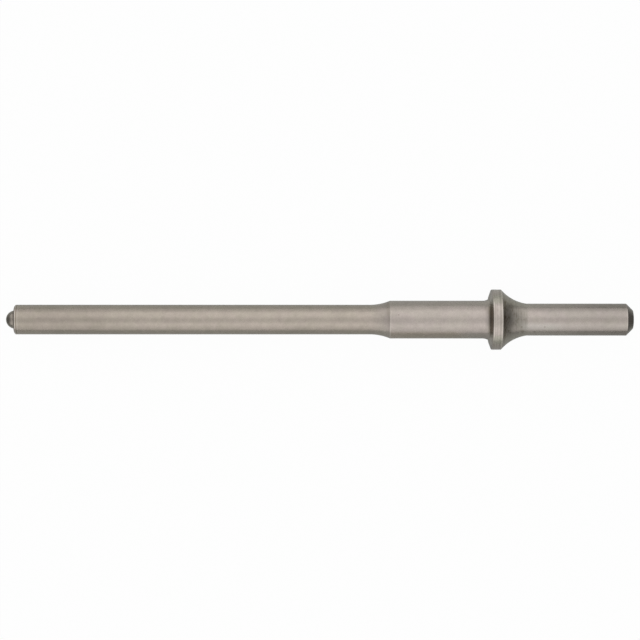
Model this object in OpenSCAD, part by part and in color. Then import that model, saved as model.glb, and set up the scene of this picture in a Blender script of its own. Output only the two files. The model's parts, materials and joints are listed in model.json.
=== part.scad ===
// Pin punch bit for an air hammer, lying along X with its tip towards -X.
// The origin is on the axis at the root of the shank, where the flare ends.

/* [Shank] */
// Diameter of the shank, which runs in the hammer's barrel
shank_d = 10.2; // [8:0.1:13]
// Straight length of the shank, from the flare to the end chamfer
shank_len = 31.75; // [20:0.05:45]
// Chamfer round the struck end, at 45 degrees
end_chamfer = 2.1; // [0.5:0.05:3]

/* [Collar] */
// Diameter of the collar's rim
collar_d = 19.2; // [17:0.1:24]
// Width of the rim along the axis
rim_w = 3.05; // [1.5:0.05:6]
// Radius of the hollow flare between the rim and the shank
flare_r = 13.3; // [8:0.1:20]
// Slope of the flare where it meets the shank, in degrees
flare_slope = 8.2; // [0:0.1:15]
// Lean of the collar's front cone from square to the axis, in degrees
front_lean = 20.5; // [5:0.1:45]
// Height of the square face between the root fillet and the front cone
front_step = 0.9; // [0.2:0.05:1.8]
// Radius of the hollow fillet between the neck and the collar's front
root_fillet = 3.45; // [2:0.05:6]
// Length of the root fillet along the axis
root_len = 2; // [0.5:0.1:2]

/* [Neck] */
// Diameter of the thick part ahead of the collar
neck_d = 12.05; // [10.5:0.05:14]
// Straight length of the neck
neck_len = 29.55; // [15:0.05:60]

/* [Taper] */
// Radius of the hollow taper between the rod and the neck
taper_r = 16.5; // [4:0.1:40]

/* [Rod] */
// Diameter of the rod
rod_d = 9.44; // [8:0.02:10.2]
// Straight length of the rod, from the driving face to the taper
rod_len = 113.25; // [60:0.05:200]
// Broken edge round the driving face
rod_edge = 0.35; // [0.1:0.05:0.8]

/* [Pilot] */
// Diameter of the pilot pin, which enters the bore of the pin being driven
pilot_d = 5.8; // [4:0.1:7]
// How far the pilot's domed nose stands out of the driving face
pilot_proud = 2.8; // [2:0.05:6]
// Length of the pilot that is pressed into the rod
pilot_depth = 12; // [6:0.5:25]
// Lead-in chamfer on the pilot's inner end
pilot_lead = 0.5; // [0.2:0.05:1]
// Broken edge round the mouth of the pilot's bore
mouth_edge = 0.2; // [0.05:0.05:0.5]
// Room between the pilot's inner end and the bottom of its bore
bore_room = 0.6; // [0.2:0.1:2]
// Point angle of the drill that made the bore, in degrees
drill_point = 118; // [90:1:140]

/* [Hidden] */
$fn = 96;

shank_rad = shank_d / 2;
collar_rad = collar_d / 2;
neck_rad = neck_d / 2;
rod_rad = rod_d / 2;
pilot_rad = pilot_d / 2;

// The centre of the flare's arc, measured from the shank's root
flare_out = flare_r * cos(flare_slope);
flare_back = flare_r * sin(flare_slope);

// The flare climbs from the shank to the rim on that arc
flare_rise = collar_rad - shank_rad;
flare_len = sqrt(pow(flare_r, 2) - pow(flare_out - flare_rise, 2)) - flare_back;

// The collar's front: root fillet, square face, then a cone out to the rim
root_rise = root_fillet - sqrt(pow(root_fillet, 2) - pow(root_len, 2));
front_foot = neck_rad + root_rise + front_step;
front_len = (collar_rad - front_foot) * tan(front_lean);

// The taper climbs from the rod to the neck on one arc
taper_rise = neck_rad - rod_rad;
taper_len = sqrt(pow(taper_r, 2) - pow(taper_r - taper_rise, 2));

// Stations along the axis, from the struck end to the tip
struck_face = shank_len + end_chamfer;
rim_back = -flare_len;
rim_front = rim_back - rim_w;
collar_front = rim_front - front_len;
neck_back = collar_front - root_len;
neck_front = neck_back - neck_len;
rod_back = neck_front - taper_len;
driving_face = rod_back - rod_len;
dome_centre = driving_face - pilot_proud + pilot_rad;

// The bore's flat-walled depth, and its cone below that
bore_end = driving_face + pilot_depth + bore_room;
bore_tip = bore_end + pilot_rad / tan(drill_point / 2);

echo(overall_length = struck_face - driving_face + pilot_proud);

// Turns an outline of (radius, place along the axis) into a solid along X
module turned() {
    rotate([0, 90, 0])
        rotate_extrude()
            children();
}

// A strip of the outline, from the axis out to a radius
module strip(rad, from, to) {
    translate([0, from])
        square([rad, to - from]);
}

// The shank runs on under the collar
module shank_outline() {
    polygon([
        [0, rim_front],
        [shank_rad, rim_front],
        [shank_rad, shank_len],
        [shank_rad - end_chamfer, struck_face],
        [0, struck_face]
    ]);
}

// The front cone, and the rim with the flare behind it
module collar_outline() {
    polygon([
        [0, collar_front],
        [front_foot, collar_front],
        [collar_rad, rim_front],
        [0, rim_front]
    ]);
    difference() {
        strip(collar_rad, rim_front, flare_back);
        translate([shank_rad + flare_out, flare_back])
            circle(flare_r);
    }
}

// The hollow fillet at the foot of the collar's front
module root_outline() {
    difference() {
        strip(min(front_foot, neck_rad + root_fillet), neck_back, rim_front);
        translate([neck_rad + root_fillet, neck_back])
            circle(root_fillet);
    }
}

// The neck runs on under the collar, and the taper is hollowed out of its front end
module neck_outline() {
    difference() {
        strip(neck_rad, rod_back, rim_front);
        translate([rod_rad + taper_r, rod_back])
            circle(taper_r);
    }
}

module rod_outline() {
    polygon([
        [0, driving_face],
        [rod_rad - rod_edge, driving_face],
        [rod_rad, driving_face + rod_edge],
        [rod_rad, rod_back],
        [0, rod_back]
    ]);
}

module bore_outline() {
    polygon([
        [0, driving_face],
        [pilot_rad + mouth_edge, driving_face],
        [pilot_rad, driving_face + mouth_edge],
        [pilot_rad, bore_end],
        [0, bore_tip]
    ]);
}

// Struck end, collar, neck and rod, turned from one bar of steel
module punch_body() {
    color("#a39a8f")
        turned()
            difference() {
                union() {
                    shank_outline();
                    collar_outline();
                    root_outline();
                    neck_outline();
                    rod_outline();
                }
                bore_outline();
            }
}

// Domed pin, pressed into the end of the rod
module pilot_pin() {
    color("#948b80")
        turned() {
            polygon([
                [0, dome_centre],
                [pilot_rad, dome_centre],
                [pilot_rad, driving_face + pilot_depth - pilot_lead],
                [pilot_rad - pilot_lead, driving_face + pilot_depth],
                [0, driving_face + pilot_depth]
            ]);
            intersection() {
                translate([0, dome_centre])
                    circle(pilot_rad);
                strip(pilot_rad, dome_centre - pilot_rad, dome_centre);
            }
        }
}

punch_body();
pilot_pin();
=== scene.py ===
import json
import math

import bpy
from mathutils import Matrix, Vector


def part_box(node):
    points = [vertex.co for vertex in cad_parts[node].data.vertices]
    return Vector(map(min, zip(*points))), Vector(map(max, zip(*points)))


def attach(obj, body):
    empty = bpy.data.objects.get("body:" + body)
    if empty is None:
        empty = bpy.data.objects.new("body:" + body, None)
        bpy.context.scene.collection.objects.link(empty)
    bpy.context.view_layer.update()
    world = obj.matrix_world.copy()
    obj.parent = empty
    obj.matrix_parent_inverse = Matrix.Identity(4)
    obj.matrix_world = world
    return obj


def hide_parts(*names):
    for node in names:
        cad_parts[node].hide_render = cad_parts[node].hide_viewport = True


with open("model.json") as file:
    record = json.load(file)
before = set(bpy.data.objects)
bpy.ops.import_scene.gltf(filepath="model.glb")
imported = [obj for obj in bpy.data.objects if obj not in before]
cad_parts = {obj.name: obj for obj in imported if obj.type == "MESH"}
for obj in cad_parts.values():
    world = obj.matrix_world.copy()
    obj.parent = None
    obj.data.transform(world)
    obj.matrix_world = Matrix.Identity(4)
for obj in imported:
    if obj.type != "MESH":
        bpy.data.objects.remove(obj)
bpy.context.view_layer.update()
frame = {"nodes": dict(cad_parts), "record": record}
mm = 0.001
mounts = {mount["name"]: mount for mount in frame["record"]["mounts"]}
scene = bpy.context.scene
scene.view_settings.view_transform = "Standard"
print("frame loaded:", ", ".join(sorted(frame["nodes"])))


# One output socket. Arithmetic on it adds Math nodes to its tree.
class Wire:
    def __init__(self, graph, socket):
        self.graph = graph
        self.socket = socket

    def out(self, name):
        return Wire(self.graph, self.socket.node.outputs[name])

    def __add__(self, other):
        return self.graph.maths("ADD", self, other)

    def __radd__(self, other):
        return self.graph.maths("ADD", other, self)

    def __sub__(self, other):
        return self.graph.maths("SUBTRACT", self, other)

    def __rsub__(self, other):
        return self.graph.maths("SUBTRACT", other, self)

    def __mul__(self, other):
        return self.graph.maths("MULTIPLY", self, other)

    def __rmul__(self, other):
        return self.graph.maths("MULTIPLY", other, self)

    def __truediv__(self, other):
        return self.graph.maths("DIVIDE", self, other)

    def __rtruediv__(self, other):
        return self.graph.maths("DIVIDE", other, self)

    def __pow__(self, other):
        return self.graph.maths("POWER", self, other)

    def __rpow__(self, other):
        return self.graph.maths("POWER", other, self)

    def __abs__(self):
        return self.graph.maths("ABSOLUTE", self)


class Graph:
    def __init__(self, tree):
        self.tree = tree
        tree.nodes.clear()

    def feed(self, socket, value):
        if isinstance(value, Wire):
            self.tree.links.new(value.socket, socket)
        else:
            socket.default_value = value

    def add(self, kind, settings=None, sockets=None, out=0):
        node = self.tree.nodes.new(kind)
        for name, value in (settings or {}).items():
            setattr(node, name, value)
        for name, value in (sockets or {}).items():
            self.feed(node.inputs[name], value)
        return Wire(self, node.outputs[out]) if node.outputs else None

    def maths(self, operation, *values):
        return self.add("ShaderNodeMath", {"operation": operation}, dict(enumerate(values)))

    def ramp(self, value, low, high):  # 0 below low, 1 above high, straight between
        sockets = {"Value": value, "From Min": low, "From Max": high}
        return self.add("ShaderNodeMapRange", {}, sockets)

    def rise(self, value, low, high):  # the same with a smooth slope
        sockets = {"Value": value, "From Min": low, "From Max": high}
        return self.add("ShaderNodeMapRange", {"interpolation_type": "SMOOTHSTEP"}, sockets)

    def fall(self, value, low, high):  # 1 below low, 0 above high
        return 1 - self.rise(value, low, high)

    def noise(self, place, size, detail=2.0, roughness=0.5):
        sockets = {"Vector": place, "Scale": 1 / size, "Detail": detail, "Roughness": roughness}
        return self.add("ShaderNodeTexNoise", {}, sockets)

    def lines(self, along, pitch, detail=2.0, roughness=0.6):
        sockets = {"W": along, "Scale": 1 / pitch, "Detail": detail, "Roughness": roughness}
        return self.add("ShaderNodeTexNoise", {"noise_dimensions": "1D"}, sockets)

    def mixColour(self, share, under, over, blend="MIX"):
        settings = {"data_type": "RGBA", "blend_type": blend}
        sockets = {0: share, 6: under, 7: over}  # a Mix node's colour sockets, and 2 for its result
        return self.add("ShaderNodeMix", settings, sockets, 2)


def newFinish(name):
    finish = bpy.data.materials.new(name)
    finish.use_nodes = True
    return finish, Graph(finish.node_tree)


# The camera looks straight down, with the tip at the left.
shot = {
    "overX": -65.86 * mm,
    "overY": -0.13 * mm,
    "height": 638.3 * mm,
    "lens": 112.5,
    "roll": math.radians(0.005),
}


def placeCamera():
    camera = bpy.data.objects.new("shotCamera", bpy.data.cameras.new("shotCamera"))
    camera.location = (shot["overX"], shot["overY"], shot["height"])
    camera.rotation_euler = (0, 0, shot["roll"])
    camera.data.lens = shot["lens"]
    scene.collection.objects.link(camera)
    scene.camera = camera


placeCamera()
print("camera placed")


# Outlines are lists of (place along the axis, radius), from the tip's side to the struck end.
# These values finish every outline before it is turned.
turning = {
    "sharp": math.radians(12),  # a corner that turns more than this is rounded
    "edgeRoom": 0.4,  # the most of a straight that one rounded edge takes up
    "edgeSteps": 5,
    "supportGap": 0.12 * mm,  # from the end of a straight to the ring beside it
    "supportRoom": 4,  # a straight of fewer gaps than this gets no rings
    "weld": 0.0002 * mm,  # closes the seam and the poles
}


def arcPoints(centre, radius, start, end, steps):
    points = []
    for step in range(steps + 1):
        angle = start + (end - start) * step / steps
        points.append((centre[0] + radius * math.sin(angle), centre[1] + radius * math.cos(angle)))
    return points


def between(start, end, share):
    return tuple(a + (b - a) * share for a, b in zip(start, end))


def stepTowards(start, end, distance):
    return between(start, end, distance / math.dist(start, end))


# Every sharp corner gets a small rounded edge.
def breakEdges(outline, edge):
    rounded = [outline[0]]
    for before, corner, after in zip(outline, outline[1:], outline[2:]):
        inward = math.atan2(corner[1] - before[1], corner[0] - before[0])
        onward = math.atan2(after[1] - corner[1], after[0] - corner[0])
        turn = abs(math.remainder(onward - inward, math.tau))
        if turn < turning["sharp"]:
            rounded.append(corner)
            continue
        room = turning["edgeRoom"] * min(math.dist(before, corner), math.dist(corner, after))
        reach = min(edge * math.tan(turn / 2), room)
        start = stepTowards(corner, before, reach)
        end = stepTowards(corner, after, reach)
        for step in range(turning["edgeSteps"] + 1):
            share = step / turning["edgeSteps"]
            first = between(start, corner, share)
            second = between(corner, end, share)
            rounded.append(between(first, second, share))
    rounded.append(outline[-1])
    return rounded


# Every long straight gets a ring close to each end, which keeps its shading flat.
def addSupport(outline):
    gap = turning["supportGap"]
    supported = [outline[0]]
    for start, end in zip(outline, outline[1:]):
        if math.dist(start, end) > turning["supportRoom"] * gap:
            supported.append(stepTowards(start, end, gap))
            supported.append(stepTowards(end, start, gap))
        supported.append(end)
    return supported


# The lathe turns an outline, held as a string of vertices at (x, 0, radius), about the X axis.
def latheTree():
    tree = bpy.data.node_groups.new("lathe", "GeometryNodeTree")
    sockets = (
        ("Outline", "INPUT", "NodeSocketGeometry"),
        ("Segments", "INPUT", "NodeSocketInt"),
        ("Weld", "INPUT", "NodeSocketFloat"),
        ("Finish", "INPUT", "NodeSocketMaterial"),
        ("Turned", "OUTPUT", "NodeSocketGeometry"),
    )
    for name, side, kind in sockets:
        tree.interface.new_socket(name, in_out=side, socket_type=kind)
    g = Graph(tree)
    outline = g.add("NodeGroupInput", out="Outline")
    segments = outline.out("Segments")
    columns = segments + 1
    index = g.add("GeometryNodeInputIndex")
    row = g.maths("FLOOR", index / columns)
    turn = (row * columns - index) * math.tau / segments  # this way round, the faces look outward
    position = g.add("GeometryNodeInputPosition")
    sample = {"Geometry": outline, "Value": position, "Index": row}
    point = g.add("GeometryNodeSampleIndex", {"data_type": "FLOAT_VECTOR"}, sample)
    along = g.add("ShaderNodeSeparateXYZ", {}, {"Vector": point}, "X")
    radius = along.out("Z")
    count = g.add("GeometryNodeAttributeDomainSize", {}, {"Geometry": outline}, "Point Count")
    sheet = g.add("GeometryNodeMeshGrid", {}, {"Vertices X": count, "Vertices Y": columns})
    across = radius * g.maths("COSINE", turn)
    upward = radius * g.maths("SINE", turn)
    place = g.add("ShaderNodeCombineXYZ", {}, {"X": along, "Y": across, "Z": upward})
    shape = g.add("GeometryNodeSetPosition", {}, {"Geometry": sheet, "Position": place})
    weld = {"Geometry": shape, "Distance": outline.out("Weld")}
    closed = g.add("GeometryNodeMergeByDistance", {}, weld)
    smooth = g.add("GeometryNodeSetShadeSmooth", {}, {"Geometry": closed})
    whole = g.add("GeometryNodeRealizeInstances", {}, {"Geometry": smooth})
    finish = {"Geometry": whole, "Material": outline.out("Finish")}
    done = g.add("GeometryNodeSetMaterial", {}, finish)
    g.add("NodeGroupOutput", {}, {"Turned": done})
    return tree


lathe = latheTree()


def turnPiece(name, outline, segments, finish):
    string = bpy.data.meshes.new(name)
    vertices = [(along, 0, radius) for along, radius in outline]
    string.from_pydata(vertices, [(i, i + 1) for i in range(len(vertices) - 1)], [])
    blank = bpy.data.objects.new(name + "Outline", string)
    scene.collection.objects.link(blank)
    modifier = blank.modifiers.new("lathe", "NODES")
    modifier.node_group = lathe
    inputs = {"Segments": segments, "Weld": turning["weld"], "Finish": finish}
    for item in lathe.interface.items_tree:
        if item.name in inputs:
            modifier[item.identifier] = inputs[item.name]
    turned = blank.evaluated_get(bpy.context.evaluated_depsgraph_get())
    mesh = bpy.data.meshes.new_from_object(turned)
    blank.modifiers.remove(modifier)
    bpy.data.objects.remove(blank)
    piece = bpy.data.objects.new(name, mesh)
    scene.collection.objects.link(piece)
    print(name, "turned:", len(mesh.polygons), "faces")
    return piece


# What both steels share. Lengths in their nodes are millimetres.
noiseMiddle = 0.5


def steelPlace(g):
    place = g.add("ShaderNodeTexCoord", out="Object")
    scale = {"Vector": place, "Scale": 1 / mm}
    place = g.add("ShaderNodeVectorMath", {"operation": "SCALE"}, scale)
    along = g.add("ShaderNodeSeparateXYZ", {}, {"Vector": place}, "X")
    return place, along, along.out("Y"), along.out("Z")


def swing(base, *parts):  # the base, moved up and down by noises about their middle
    for weight, noise in parts:
        base = base + weight * (noise - noiseMiddle)
    return base


def ringsAt(g, along, rings):  # each ring's strength at its place, 0 a width away
    return sum(
        strength * g.fall(abs(along - place), 0.0, width) for place, width, strength in rings
    )


def steelShader(g, colour, roughness, height, bump):
    normal = g.add("ShaderNodeBump", {}, {**bump, "Height": height})
    shader = {"Base Color": colour, "Metallic": 1.0, "Roughness": roughness, "Normal": normal}
    steel = g.add("ShaderNodeBsdfPrincipled", {}, shader)
    g.add("ShaderNodeOutputMaterial", {}, {"Surface": steel})


# The body's satin turned steel. Pairs are where a fade begins and where it ends.
steelLook = {
    "light": (0.462, 0.408, 0.374, 1),
    "dark": (0.324, 0.287, 0.262, 1),
    "roughness": 0.26,
    "flareRoughness": 0.06,
    "blotchRoughness": 0.1,
    "grainRoughness": 0.06,
    "bump": {"Strength": 0.12, "Distance": 0.02 * mm},
    "fineHeight": 0.2,
    "grainHeight": 0.4,
    # turned lines and noises, and how much each moves the colour
    "ringLean": 0.6,
    "finePitch": 0.65,
    "broadPitch": 2.5,
    "blotch": {"size": 9, "detail": 3},
    "mottle": {"size": 1.7},
    "grain": {"size": 0.6, "roughness": 0.6},
    "fineShare": 0.05,
    "fineOnCollar": 1.8,
    "broadShare": 0.06,
    "blotchShare": 0.6,
    "mottleShare": 0.7,
    "grainShare": 0.6,
    "grainOnCollar": 0.5,
    # the collar keeps more of its turned lines, and the side that faces up gets more painted shade
    # and scuffs
    "collarMiddle": -5.9,
    "collarReach": (5.0, 6.4),
    "topFrom": (0.6, 0.92),
    "farFrom": (0.3, 2.6),
    "sideFrom": (2.0, 5.0),
    "flankFrom": (5.0, 6.6),
    "flare": {"from": (-8.3, -7.9), "to": (-1.0, 1.0)},
    # tints that multiply the colour; some of them are painted shade and a painted reflection, as
    # marked
    "rodTint": (0.95, 0.94, 0.895, 1),
    "rodTo": (-52.0, -42.0),
    # painted shade on the rod's upper side near the tip, and darker towards the struck end
    "dullTint": (0.9, 0.9, 0.89, 1),
    "dullShare": 0.85,
    "dullTipTo": (-138.0, -125.0),
    "dullEndFrom": (2.0, 24.0),
    "driftTint": (0.985, 1.0, 0.98, 1),
    "drift": {"size": 4},
    "driftRange": (0.4, 0.6),
    # painted shade on the neck's near flank
    "neckTint": (0.99, 0.965, 0.91, 1),
    "neckFlank": {"from": (-43.6, -43.4), "to": (-24.0, -18.0), "far": (-4.4, -3.4)},
    # painted shade on the shank's far side
    "shankTint": (0.955, 0.96, 0.97, 1),
    "shankFar": {"from": (3.0, 8.0), "near": (-0.3, 0.6), "far": (3.0, 4.2)},
    "flareTint": (0.99, 1.02, 0.985, 1),
    # a painted greenish reflection on the rim's flanks
    "rimTint": (1.02, 1.09, 1.02, 1),
    "rimSides": {"from": (-11.3, -11.0), "to": (-8.4, -8.1), "near": (4.6, 5.6), "far": (7.0, 8.2)},
    # a painted sheen on the shank's near side, lighter and cooler
    "polish": (0.52, 0.55, 0.52, 1),
    "polishShare": 0.17,
    "polishFade": 0.12,
    "polishFadeOver": (6.0, 14.0),
    "shankNear": {"from": (-4.0, -1.5), "near": (-3.9, -2.7), "far": (-2.2, -0.3)},
    # rings are (place, width, strength)
    # lighter edges, partly wear and partly painted highlights; the near, rim, side and flank rings
    # are painted highlights only
    "worn": (0.60, 0.55, 0.50, 1),
    "wornEdges": (
        (-162.74, 0.22, 0.6), (-161.95, 0.5, 0.2), (-43.56, 0.3, 0.2),
        (-8.32, 0.27, 0.6), (31.55, 0.2, 0.35),
    ),
    "nearEdges": ((-43.56, 0.3, 0.35),),
    "rimEdges": ((-10.92, 0.25, 0.3),),
    "sideEdges": ((-10.95, 0.28, 0.5),),
    "flankEdges": ((-11.9, 0.7, 0.6),),
    # a dark colour for specks and scuffs and for painted shade: the rings paint shade in the
    # collar's front crevice and by the neck's edge, and a thin dark line by the driving face; the
    # top, far and flare ones paint shade on the collar's front, by the neck's edge and behind the
    # rim
    "grime": (0.16, 0.13, 0.09, 1),
    "grimyRings": ((-162.34, 0.2, 0.65), (-44.1, 0.7, 0.08), (-11.75, 0.6, 0.05)),
    "topStains": ((-11.65, 0.6, 0.75), (-12.25, 0.55, 0.5), (-6.7, 1.4, 0.08)),
    "farStains": ((-44.3, 1.3, 0.2),),
    "flareStains": ((-7.57, 0.9, 0.5),),
    "flankClean": 0.6,  # how much less of the flare's painted shade the flanks have
    # specks are (place along, place across, width, strength)
    "specks": (
        (-2.0, -2.35, 0.4, 0.4), (-1.6, -3.75, 0.75, 0.4), (-2.3, -3.1, 1.1, 0.2),
        (-1.25, 0.0, 0.45, 0.3), (2.3, -3.9, 0.4, 0.45), (5.4, -2.35, 0.35, 0.45),
        (-41.0, 1.5, 0.3, 0.45), (-6.3, 5.6, 3.5, 0.25), (-11.9, 3.0, 2.6, 0.2),
    ),
    "speckCore": 0.3,
    "speckSide": (0.0, 1.0),
    # scuffs on the flare, longer round it than along it
    "scuff": {"size": 0.9, "detail": 3, "roughness": 0.7},
    "scuffStretch": (1.8, 0.7, 0.7),
    "scuffRange": (0.5, 0.64),
    "scuffShare": 0.65,
    "scuffFade": 0.65,
    "scuffFadeOver": (-4.5, -1.5),
}


def specksAt(g, along, across, above):  # small spots on the upper side
    total = 0.0
    for x, y, width, strength in steelLook["specks"]:
        away = g.maths("SQRT", (along - x) ** 2 + (across - y) ** 2)
        total = total + strength * g.fall(away, steelLook["speckCore"] * width, width)
    return total * g.rise(above, *steelLook["speckSide"])


def patchAt(g, along, across, patch):  # 1 inside the patch's edges, 0 outside
    share = 1.0
    for edge, limits in patch.items():
        place = along if edge in ("from", "to") else across
        step = g.rise if edge in ("from", "near") else g.fall
        share = share * step(place, *limits)
    return share


def steelFinish():
    look = steelLook
    finish, g = newFinish("satinSteel")
    place, along, across, above = steelPlace(g)
    radius = g.maths("SQRT", across ** 2 + above ** 2)
    ring = along - look["ringLean"] * radius  # the same all round each turned line
    fine = g.lines(ring, look["finePitch"])
    broad = g.lines(ring, look["broadPitch"])
    blotch = g.noise(place, **look["blotch"])
    mottle = g.noise(place, **look["mottle"])
    grain = g.noise(place, **look["grain"])
    aside = abs(across)
    onCollar = g.fall(abs(along - look["collarMiddle"]), *look["collarReach"])
    onTop = g.rise(above / radius, *look["topFrom"])
    onFar = g.rise(across, *look["farFrom"])
    onFlank = g.rise(aside, *look["flankFrom"])
    onFlare = patchAt(g, along, across, look["flare"])

    def rings(name):
        return ringsAt(g, along, look[name])

    tone = swing(
        noiseMiddle,
        (look["fineShare"] + look["fineOnCollar"] * onCollar, fine),
        (look["broadShare"], broad),
        (look["blotchShare"], blotch),
        (look["mottleShare"], mottle),
        (look["grainShare"] + look["grainOnCollar"] * onCollar, grain),
    )
    colour = g.mixColour(tone, look["dark"], look["light"])
    # painted shade on the upper side near the tip, and darker towards the struck end
    dullAndShade = onTop * g.fall(along, *look["dullTipTo"]) + g.rise(along, *look["dullEndFrom"])
    # the neck, shank and rim tints are painted shade and a painted reflection
    tints = {
        "rodTint": g.fall(along, *look["rodTo"]),
        "dullTint": look["dullShare"] * dullAndShade,
        "driftTint": g.rise(g.noise(place, **look["drift"]), *look["driftRange"]),
        "neckTint": patchAt(g, along, across, look["neckFlank"]),
        "shankTint": patchAt(g, along, across, look["shankFar"]),
        "flareTint": onFlare,
        "rimTint": patchAt(g, along, aside, look["rimSides"]),
    }
    for name, share in tints.items():
        colour = g.mixColour(share, colour, look[name], "MULTIPLY")
    # a painted sheen on the shank's near side
    polish = look["polishShare"] - look["polishFade"] * g.rise(along, *look["polishFadeOver"])
    polish = polish * patchAt(g, along, across, look["shankNear"])
    colour = g.mixColour(polish, colour, look["polish"])

    # painted highlights on the rim's front edge towards its sides and on the collar's front at the
    # flanks, added to the worn and highlit edges
    rimHighlights = rings("rimEdges") + g.rise(aside, *look["sideFrom"]) * rings("sideEdges")
    worn = rings("wornEdges") + (1 - onFar) * rings("nearEdges")
    worn = worn + (1 - onFlank) * rimHighlights + onFlank * rings("flankEdges")
    colour = g.mixColour(worn, colour, look["worn"])

    # painted shade in the rings, on the upper side, on the far side and behind the rim, together
    # with the specks and scuffs
    darkening = rings("grimyRings") + onTop * rings("topStains") + onFar * rings("farStains")
    darkening = darkening + (1 - look["flankClean"] * onFlank) * rings("flareStains")
    darkening = darkening + specksAt(g, along, across, above)
    stretch = {0: place, 1: look["scuffStretch"]}
    stretched = g.add("ShaderNodeVectorMath", {"operation": "MULTIPLY"}, stretch)
    scuff = g.rise(g.noise(stretched, **look["scuff"]), *look["scuffRange"])
    scuff = scuff * (1 - look["scuffFade"] * g.rise(along, *look["scuffFadeOver"]))
    darkening = darkening + look["scuffShare"] * onFlare * onTop * scuff
    colour = g.mixColour(darkening, colour, look["grime"])

    roughness = swing(
        look["roughness"] + look["flareRoughness"] * onFlare,
        (look["blotchRoughness"], blotch),
        (look["grainRoughness"], grain),
    )
    height = look["fineHeight"] * fine + look["grainHeight"] * grain
    steelShader(g, colour, roughness, height, look["bump"])
    return finish


# The pilot's smoother steel, with painted shade round its foot, more of it on the far side
pilotLook = {
    "light": (0.42, 0.38, 0.33, 1),
    "dark": (0.26, 0.235, 0.205, 1),
    "roughness": 0.27,
    "blotchRoughness": 0.1,
    "bump": {"Strength": 0.1, "Distance": 0.02 * mm},
    "grain": {"size": 0.4, "detail": 3, "roughness": 0.6},
    "blotch": {"size": 2},
    "grainShare": 0.6,
    "blotchShare": 0.8,
    # the dark colour of the painted shade round the dome's foot
    "grime": (0.16, 0.13, 0.11, 1),
    "grimyRings": ((-163.34, 0.8, 0.75),),
    "nearShare": 0.35,
    "farShare": 0.65,
    "farFrom": (-0.9, 0.6),
}


def pilotFinish():
    look = pilotLook
    finish, g = newFinish("pilotSteel")
    place, along, across = steelPlace(g)[:3]
    grain = g.noise(place, **look["grain"])
    blotch = g.noise(place, **look["blotch"])
    tone = swing(noiseMiddle, (look["grainShare"], grain), (look["blotchShare"], blotch))
    colour = g.mixColour(tone, look["dark"], look["light"])
    # painted shade round the dome's foot, more on the far side
    side = look["nearShare"] + look["farShare"] * g.rise(across, *look["farFrom"])
    darkening = ringsAt(g, along, look["grimyRings"]) * side
    colour = g.mixColour(darkening, colour, look["grime"])
    roughness = swing(look["roughness"], (look["blotchRoughness"], blotch))
    steelShader(g, colour, roughness, grain, look["bump"])
    return finish


# The body: bore, rod, taper, neck, collar, flare and shank, turned from one bar
bodyShape = {
    "rodRadius": 4.72 * mm,
    "rodEdge": 0.35 * mm,
    "mouthEdge": 0.2 * mm,
    "pressGap": 0.01 * mm,
    "boreRoom": 0.6 * mm,
    "drillPoint": math.radians(118),
    "taperRadius": 16.5 * mm,
    "taperSteps": 16,
    "neckRadius": 6.025 * mm,
    "neckLength": 29.55 * mm,
    "rootFillet": 3.45 * mm,
    "rootLength": 2 * mm,
    "rootSteps": 12,
    "frontStep": 0.9 * mm,
    "frontLean": math.radians(20.5),
    "rimEdge": 0.3 * mm,
    "rimSteps": 8,
    "flareRadius": 13.3 * mm,
    "flareSlope": math.radians(8.2),
    "flareSteps": 28,
    "endChamfer": 2.1 * mm,
    "brokenEdge": 0.15 * mm,
    "segments": 192,
}


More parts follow.
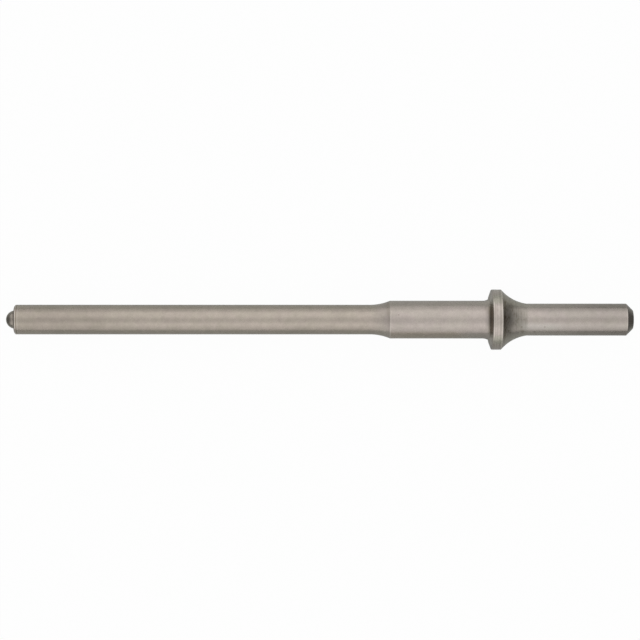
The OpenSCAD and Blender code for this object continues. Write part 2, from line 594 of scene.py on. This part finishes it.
def bodyOutline():
    shape = bodyShape
    halfTurn = math.pi
    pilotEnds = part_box("pilot_pin")
    drivingFace = mounts["driving_face"]["pos_m"][0]
    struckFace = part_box("punch_body")[1].x
    shankRadius = mounts["shank"]["dims"]["r_mm"] * mm
    rimRadius = mounts["collar_rim"]["dims"]["r_mm"] * mm
    rimHalf = mounts["collar_rim"]["dims"]["length_mm"] * mm / 2
    rimBack = mounts["collar_rim"]["pos_m"][0] + rimHalf
    rimFront = rimBack - 2 * rimHalf
    boreRadius = pilotEnds[1].z + shape["pressGap"]
    boreEnd = pilotEnds[1].x + shape["boreRoom"]
    boreTip = boreEnd + boreRadius / math.tan(shape["drillPoint"] / 2)
    mouthEdge = shape["mouthEdge"]
    rodRadius = shape["rodRadius"]
    rodEdge = shape["rodEdge"]
    neckRadius = shape["neckRadius"]
    rootFillet = shape["rootFillet"]
    rootTurn = math.asin(shape["rootLength"] / rootFillet)
    frontFoot = neckRadius + rootFillet * (1 - math.cos(rootTurn)) + shape["frontStep"]
    collarFront = rimFront - (rimRadius - frontFoot) * math.tan(shape["frontLean"])
    rimEdge = shape["rimEdge"]
    rimTurn = math.pi / 2 - shape["frontLean"]
    rimCentre = (rimFront + rimEdge * math.tan(rimTurn / 2), rimRadius - rimEdge)
    neckBack = collarFront - shape["rootLength"]
    rootCentre = (neckBack, neckRadius + rootFillet)
    taperRadius = shape["taperRadius"]
    taperTurn = math.acos(1 - (neckRadius - rodRadius) / taperRadius)
    rodBack = neckBack - shape["neckLength"] - taperRadius * math.sin(taperTurn)
    taperCentre = (rodBack, rodRadius + taperRadius)
    flareRadius = shape["flareRadius"]
    flareSlope = shape["flareSlope"]
    flareBack = flareRadius * math.sin(flareSlope)
    flareCentre = (flareBack, shankRadius + flareRadius * math.cos(flareSlope))
    flareTurn = math.acos((flareCentre[1] - rimRadius) / flareRadius)
    flareTurns = (halfTurn + flareTurn, halfTurn + flareSlope)
    chamfer = shape["endChamfer"]
    outline = [
        (boreTip, 0),
        (boreEnd, boreRadius),
        (drivingFace + mouthEdge, boreRadius),
        (drivingFace, boreRadius + mouthEdge),
        (drivingFace, rodRadius - rodEdge),
        (drivingFace + rodEdge, rodRadius),
    ]
    outline += arcPoints(
        taperCentre, taperRadius, halfTurn, halfTurn - taperTurn, shape["taperSteps"]
    )
    outline += arcPoints(rootCentre, rootFillet, halfTurn, halfTurn - rootTurn, shape["rootSteps"])
    outline.append((collarFront, frontFoot))
    outline += arcPoints(rimCentre, rimEdge, -rimTurn, 0, shape["rimSteps"])
    outline += arcPoints(flareCentre, flareRadius, *flareTurns, shape["flareSteps"])
    outline += [
        (struckFace - chamfer, shankRadius),
        (struckFace, shankRadius - chamfer),
        (struckFace, 0),
    ]
    return addSupport(breakEdges(outline, shape["brokenEdge"]))


body = turnPiece("turnedBody", bodyOutline(), bodyShape["segments"], steelFinish())
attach(body, "root")
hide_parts("punch_body")


# The pilot: a domed pin pressed into the rod's end
pilotShape = {"lead": 0.5 * mm, "brokenEdge": 0.1 * mm, "domeSteps": 28, "segments": 128}


def pilotOutline():
    low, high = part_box("pilot_pin")
    radius = high.z
    centre = (low.x + radius, 0)
    outline = arcPoints(centre, radius, -math.pi / 2, 0, pilotShape["domeSteps"])
    outline[0] = (low.x, 0)
    lead = pilotShape["lead"]
    outline += [(high.x - lead, radius), (high.x, radius - lead), (high.x, 0)]
    return addSupport(breakEdges(outline, pilotShape["brokenEdge"]))


pilot = turnPiece("domedPilot", pilotOutline(), pilotShape["segments"], pilotFinish())
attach(pilot, "root")
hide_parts("pilot_pin")


# A white floor that meets the rim and the rod's end, and falls away past the tip. Reflections see
# it dimmer past both ends, on the near side and beyond the shank, as painted shade, and see a
# painted shadow right beside the punch.
floorLook = {
    "paper": (0.675, 0.705, 0.68, 1),
    "dimPaper": (0.08, 0.08, 0.08, 1),
    "whiteToCamera": 0.97,
    "whiteToMetal": 0.07,
    "pastTip": (-205 * mm, -160 * mm),
    "pastEnd": (-5 * mm, 115 * mm),
    "nearDim": 0.2,
    "nearMore": 0.06,
    "nearMoreFrom": (-60 * mm, -20 * mm),
    "nearTo": (-12 * mm, -8.5 * mm),
    "farMore": 0.1,
    "farMoreFrom": (10 * mm, 50 * mm),
    "farFrom": (3 * mm, 15 * mm),
    "besideDim": 0.35,
    "besideWidth": 8 * mm,
    "besideCollar": 4.5 * mm,
    "besideFade": (-1 * mm, 1 * mm),
    "collarMiddle": -9.7 * mm,
    "collarReach": (4 * mm, 10 * mm),
    "reach": 2.5,
    "runOn": 10 * mm,  # how far it runs on straight past the rod's end
    "fall": 12 * mm,
    "fallOver": 220 * mm,
    "fallSteps": 12,
}


def whiteShare(g, toCamera, toMetal):
    isCamera = g.add("ShaderNodeLightPath", out="Is Camera Ray")
    throughMetal = isCamera.out("Is Glossy Ray") + isCamera.out("Is Transmission Ray")
    return toCamera * isCamera + toMetal * throughMetal


def floorFinish():
    look = floorLook
    finish, g = newFinish("whiteFloor")
    place = g.add("ShaderNodeTexCoord", out="Object")
    along = g.add("ShaderNodeSeparateXYZ", {}, {"Vector": place}, "X")
    across = along.out("Y")
    pastEnd = g.rise(along, *look["pastEnd"])
    pastTip = g.fall(along, *look["pastTip"])
    near = look["nearDim"] + look["nearMore"] * g.rise(along, *look["nearMoreFrom"])
    near = near * g.fall(across, *look["nearTo"])
    far = look["farMore"] * g.rise(along, *look["farMoreFrom"]) * g.rise(across, *look["farFrom"])
    atCollar = g.fall(abs(along - look["collarMiddle"]), *look["collarReach"])
    # a painted shadow of the punch on the floor, seen only in reflections
    fromEdge = abs(across) - (look["besideWidth"] + look["besideCollar"] * atCollar)
    beside = look["besideDim"] * (1 - g.ramp(fromEdge, *look["besideFade"]))
    isCamera = g.add("ShaderNodeLightPath", out="Is Camera Ray")
    palePaper = g.add("ShaderNodeBsdfDiffuse", {}, {"Color": look["paper"]})
    dimPaper = g.add("ShaderNodeBsdfDiffuse", {}, {"Color": look["dimPaper"]})
    dimShare = (pastEnd + pastTip + near + far + beside) * (1 - isCamera)
    paper = g.add("ShaderNodeMixShader", {}, {0: dimShare, 1: palePaper, 2: dimPaper})
    white = g.add("ShaderNodeEmission", {}, {"Strength": 1.0})
    share = whiteShare(g, look["whiteToCamera"], look["whiteToMetal"])
    mixed = g.add("ShaderNodeMixShader", {}, {0: share, 1: paper, 2: white})
    g.add("ShaderNodeOutputMaterial", {}, {"Surface": mixed})
    return finish


def layFloor():
    rim = mounts["collar_rim"]
    rimFront = rim["pos_m"][0] - rim["dims"]["length_mm"] * mm / 2
    rimFoot = (rimFront, -rim["dims"]["r_mm"] * mm)
    rodEnd = mounts["driving_face"]["pos_m"][0] + bodyShape["rodEdge"]
    tipFoot = (rodEnd, -bodyShape["rodRadius"])
    slope = (rimFoot[1] - tipFoot[1]) / (rimFoot[0] - tipFoot[0])
    fallStart = tipFoot[0] - floorLook["runOn"]
    fallOver = floorLook["fallOver"]
    fallen = tipFoot[1] - floorLook["fall"]
    reach = floorLook["reach"]
    steps = floorLook["fallSteps"]
    stations = [-reach, fallStart - 2 * fallOver]
    stations += [fallStart - fallOver * (1 - step / steps) for step in range(steps + 1)]
    stations += [rimFoot[0], reach]
    vertices = []
    for x in stations:
        share = min(max((fallStart - x) / fallOver, 0), 1)
        level = tipFoot[1] + slope * (x - tipFoot[0])
        z = level + (fallen - level) * share * share * (3 - 2 * share)  # eased at both ends
        vertices += [(x, -reach, z), (x, reach, z)]
    faces = [(2 * i, 2 * i + 2, 2 * i + 3, 2 * i + 1) for i in range(len(stations) - 1)]
    mesh = bpy.data.meshes.new("whiteFloor")
    mesh.from_pydata(vertices, [], faces)
    mesh.shade_smooth()
    mesh.materials.append(floorFinish())
    floor = bpy.data.objects.new("whiteFloor", mesh)
    scene.collection.objects.link(floor)


layFloor()
print("floor laid")


# A white tent all round: full overhead and to the sides, dimmer towards the punch's two ends.
# Threes are how much is added or taken away, where that begins and where it is full.
tentLook = {
    "full": 1.45,
    "overhead": 1.035,
    "endFall": (0.66, 0.1, 1.0),
    "endDark": (0.265, 0.8, 1.0),
    "tipFall": (0.11, -0.05, 0.25),
    "tipSlope": (0.2, 0.2, 0.7),
    "tipDark": (0.55, 0.6, 1.0),
    "seam": -0.08,
    "sides": (0.33, 0.05, 0.6),
    "farFall": (0.435, 0.78, 0.99),
    "nearFall": (0.295, 0.6, 1.0),
    "nearDark": (0.21, 0.96, 1.0),
    "nearEnd": (0.12, 0.85, 1.0),
    "nearEndFrom": (-0.02, 0.08),
    "farEnd": (0.25, 0.55, 0.85),
    "farEndFrom": (0.05, 0.4),
    "whiteToCamera": 1.0,
    "whiteToMetal": 0.04,
}


def lightTent():
    world = bpy.data.worlds.new("whiteTent")
    world.use_nodes = True
    scene.world = world
    g = Graph(world.node_tree)
    place = g.add("ShaderNodeTexCoord", out="Generated")
    along = g.add("ShaderNodeSeparateXYZ", {}, {"Vector": place}, "X")
    across = along.out("Y")
    toTip = 0 - along
    toNear = 0 - across

    def amount(name, towards, step=g.rise):
        strength, low, high = tentLook[name]
        return strength * step(towards, low, high)

    lengthwise = tentLook["overhead"] - amount("endFall", along, g.ramp) - amount("endDark", along)
    lengthwise = lengthwise - amount("tipFall", toTip) - amount("tipSlope", toTip, g.ramp)
    lengthwise = lengthwise - amount("tipDark", toTip)
    sideways = 1 + amount("sides", abs(across - tentLook["seam"])) - amount("farFall", across)
    sideways = sideways - amount("nearFall", toNear) - amount("nearDark", toNear)
    sideways = sideways - amount("nearEnd", toNear) * g.rise(along, *tentLook["nearEndFrom"])
    corner = 1 - amount("farEnd", along) * g.rise(across, *tentLook["farEndFrom"])
    full = tentLook["full"]
    dark = g.add("ShaderNodeBackground", {}, {"Color": (0, 0, 0, 1)})
    bright = g.add("ShaderNodeBackground", {}, {"Color": (full, full, full, 1)})
    share = lengthwise * sideways * corner / full
    tent = g.add("ShaderNodeMixShader", {}, {0: share, 1: dark, 2: bright})
    white = g.add("ShaderNodeBackground", {}, {"Color": (1, 1, 1, 1)})
    share = whiteShare(g, tentLook["whiteToCamera"], tentLook["whiteToMetal"])
    seen = g.add("ShaderNodeMixShader", {}, {0: share, 1: tent, 2: white})
    g.add("ShaderNodeOutputWorld", {}, {"Surface": seen})


lightTent()
print("tent lit")
